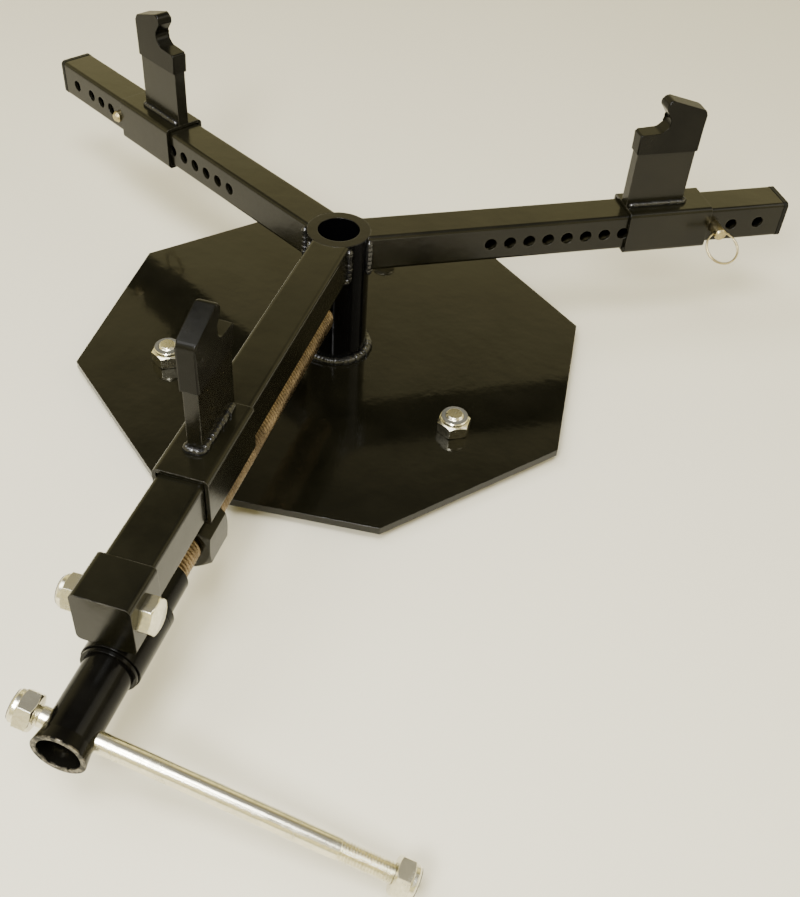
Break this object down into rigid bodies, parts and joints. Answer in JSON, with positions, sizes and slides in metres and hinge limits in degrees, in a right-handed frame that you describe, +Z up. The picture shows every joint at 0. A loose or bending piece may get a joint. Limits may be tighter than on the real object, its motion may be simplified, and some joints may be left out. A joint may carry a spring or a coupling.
{
  "type": "three-arm wheel clamping stand",
  "caption": "Octagonal base plate and hub post with radial square-tube arms; hook jaws slide on the arms, two held by ring pins, one driven by a hand-cranked screw.",
  "frame": {"origin": "hub axis at the underside of the base plate", "axes": "+Z up along the hub bore, -Y along the screw arm towards the crank, +X to the right of it"},
  "size_m": [0.5498, 0.5341, 0.1807],
  "materials": {
    "plate_paint": "gloss black paint",
    "post_paint": "wet gloss black paint",
    "arm_paint": "satin black paint",
    "crank_paint": "satin black paint, worn rims",
    "weld": "painted weld bead",
    "zinc": "zinc plated, slightly yellow",
    "pin_zinc": "dull zinc",
    "screw_steel": "oiled threaded steel",
    "cover_plastic": "moulded black plastic",
    "plug_plastic": "moulded black plastic"
  },
  "bodies": {
    "frame": {"base_plate": "plate_paint", "plate_bolts": "zinc", "plate_nuts": "zinc", "center_post": "post_paint", "post_weld": "weld", "hub_welds": "weld", "front_arm": "arm_paint", "right_arm": "arm_paint", "left_arm": "arm_paint", "right_arm_plug": "plug_plastic", "left_arm_plug": "plug_plastic", "end_cap": "arm_paint", "end_cap_bolt": "zinc", "end_cap_nut": "zinc", "bearing_housing": "crank_paint", "housing_weld": "weld"},
    "crank": {"screw_rod": "screw_steel", "crank_tube": "crank_paint", "front_thrust_ring": "crank_paint", "rear_thrust_ring": "crank_paint"},
    "handle": {"handle_bar": "zinc", "handle_nut_left": "zinc", "handle_nut_right": "zinc"},
    "front_jaw": {"front_sleeve": "arm_paint", "drive_nut": "arm_paint", "nut_weld": "weld", "front_jaw_blade": "arm_paint", "front_jaw_cover": "cover_plastic", "front_jaw_weld": "weld"},
    "right_jaw": {"right_sleeve": "arm_paint", "right_jaw_blade": "arm_paint", "right_jaw_cover": "cover_plastic", "right_jaw_weld": "weld"},
    "left_jaw": {"left_sleeve": "arm_paint", "left_jaw_blade": "arm_paint", "left_jaw_cover": "cover_plastic", "left_jaw_weld": "weld"},
    "right_pin": {"right_pin": "pin_zinc"},
    "left_pin": {"left_pin": "pin_zinc"},
    "right_ring": {"right_pin_ring": "pin_zinc"},
    "left_ring": {"left_pin_ring": "pin_zinc"}
  },
  "joints": [
    {"name": "crank_turn", "type": "hinge", "parent": "frame", "child": "crank", "pos_m": [0, -0.3, 0.0525], "axis": [0, -1, 0], "range_deg": [-2700, 20800]},
    {"name": "front_jaw_slide", "type": "slide", "parent": "frame", "child": "front_jaw", "axis": [0, 1, 0], "range_m": [-0.0188, 0.1445]},
    {"name": "handle_slide", "type": "slide", "parent": "crank", "child": "handle", "axis": [0.9703, 0, -0.2419], "range_m": [-0.14, 0.004]},
    {"name": "right_jaw_slide", "type": "slide", "parent": "frame", "child": "right_jaw", "axis": [-0.866, -0.5, 0], "range_m": [-0.0006, 0.1604]},
    {"name": "left_jaw_slide", "type": "slide", "parent": "frame", "child": "left_jaw", "axis": [0.866, -0.5, 0], "range_m": [-0.0006, 0.1334]},
    {"name": "right_pin_pull", "type": "slide", "parent": "frame", "child": "right_pin", "axis": [0.5, -0.866, 0], "range_m": [0, 0.04]},
    {"name": "left_pin_pull", "type": "slide", "parent": "frame", "child": "left_pin", "axis": [0.5, 0.866, 0], "range_m": [0, 0.04]},
    {"name": "right_ring_swing", "type": "hinge", "parent": "right_pin", "child": "right_ring", "pos_m": [0.23327, 0.10997, 0.0837], "axis": [-0.866, -0.5, 0], "range_deg": [-75, 55]},
    {"name": "left_ring_swing", "type": "hinge", "parent": "left_pin", "child": "left_ring", "pos_m": [-0.18901, 0.13383, 0.0837], "axis": [0.866, -0.5, 0], "range_deg": [-20, 110]}
  ],
  "couplings": [
    {"joint": "front_jaw_slide", "follows": "crank_turn", "m_per_rad": 0.00039789}
  ]
}
